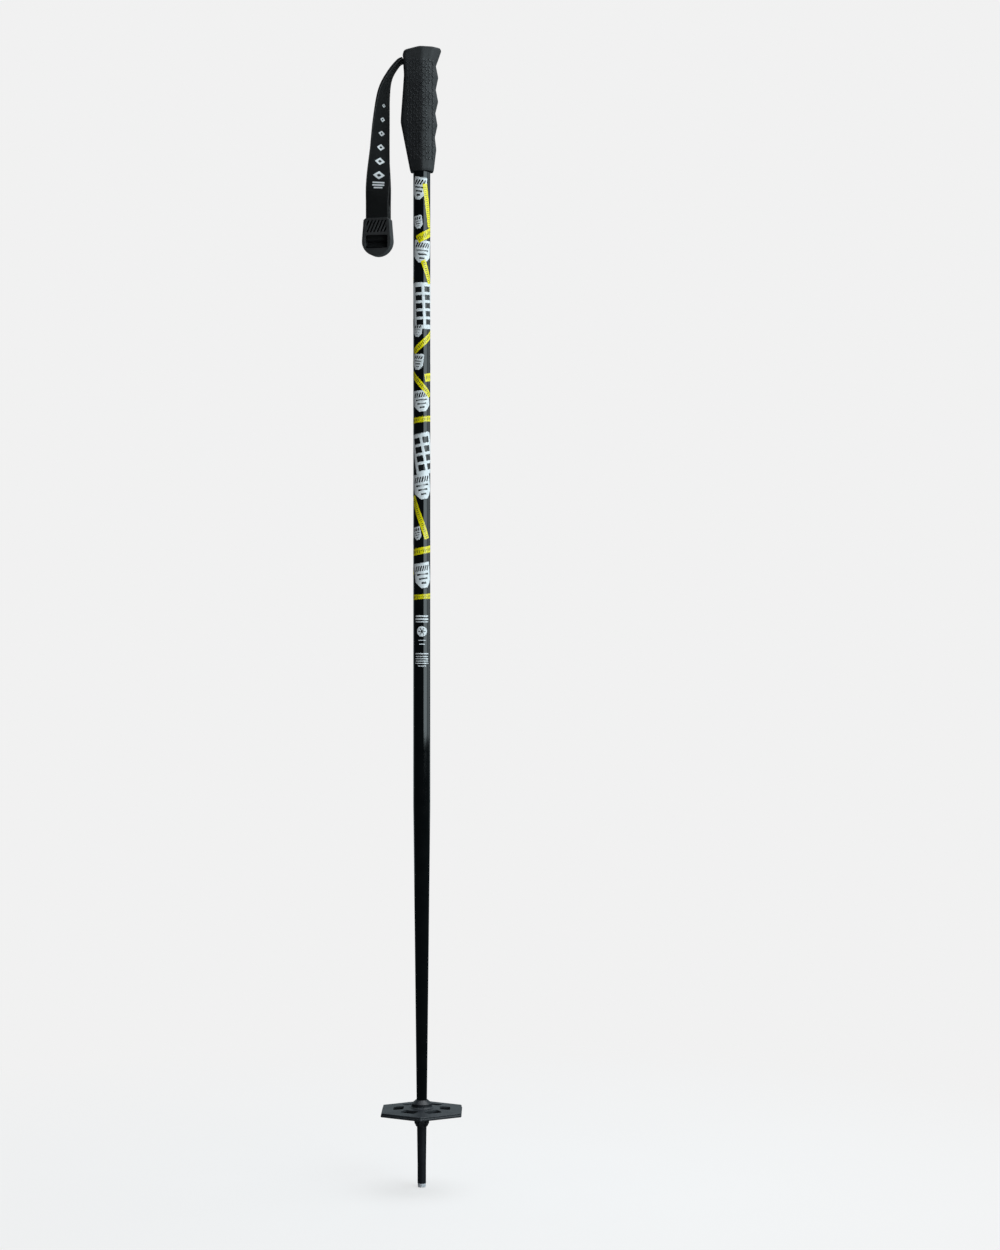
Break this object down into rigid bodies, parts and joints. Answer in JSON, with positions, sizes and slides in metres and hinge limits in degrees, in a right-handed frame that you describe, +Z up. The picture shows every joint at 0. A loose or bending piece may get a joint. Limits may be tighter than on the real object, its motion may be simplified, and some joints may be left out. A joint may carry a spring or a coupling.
{
  "type": "ski pole",
  "caption": "Alpine ski pole: tapered printed tube, faceted finger-grooved grip, webbing wrist strap with ladder buckle, hexagonal snow basket and steel crown tip.",
  "frame": {"origin": "the lowest point of the steel crown, on the tube's axis", "axes": "+Z up the tube's axis towards the grip, +X to the side with the finger grooves, so the strap hangs on -X"},
  "size_m": [0.1055, 0.0974, 1.2],
  "materials": {
    "lacquered_tube": "gloss black lacquer over aluminium, with printed patches",
    "tip_plastic": "satin moulded nylon",
    "crown_steel": "turned and hardened steel",
    "basket_plastic": "satin moulded plastic",
    "core_plastic": "hard moulded plastic",
    "grip_rubber": "matte moulded elastomer",
    "plug_plastic": "satin moulded plastic",
    "pin_steel": "drawn steel wire",
    "webbing": "woven ribbed polyester",
    "thread": "twisted polyester thread",
    "buckle_plastic": "satin moulded acetal"
  },
  "bodies": {
    "pole": {"shaft_tube": "lacquered_tube", "tip_body": "tip_plastic", "tip_crown": "crown_steel", "grip_core": "core_plastic", "grip_sleeve": "grip_rubber", "top_plug": "plug_plastic", "strap_pin": "pin_steel", "strap_anchor_fold": "webbing"},
    "basket": {"basket": "basket_plastic"},
    "strap": {"strap_front_run": "webbing", "strap_back_run": "webbing"},
    "buckle": {"buckle_frame": "buckle_plastic", "strap_tail": "webbing", "strap_end_loop": "webbing", "tail_stitches": "thread"}
  },
  "joints": [
    {"name": "basket_turn", "type": "hinge", "parent": "pole", "child": "basket", "pos_m": [0, 0, 0.0784], "axis": [0, 0, 1], "continuous": true},
    {"name": "strap_swing", "type": "hinge", "parent": "pole", "child": "strap", "pos_m": [-0.0186, 0, 1.1883], "axis": [0, 1, 0], "range_deg": [0, 40]},
    {"name": "buckle_slide", "type": "slide", "parent": "strap", "child": "buckle", "axis": [0, 0, 1], "range_m": [0, 0.04], "deforming": ["strap_front_run", "strap_back_run"]}
  ]
}
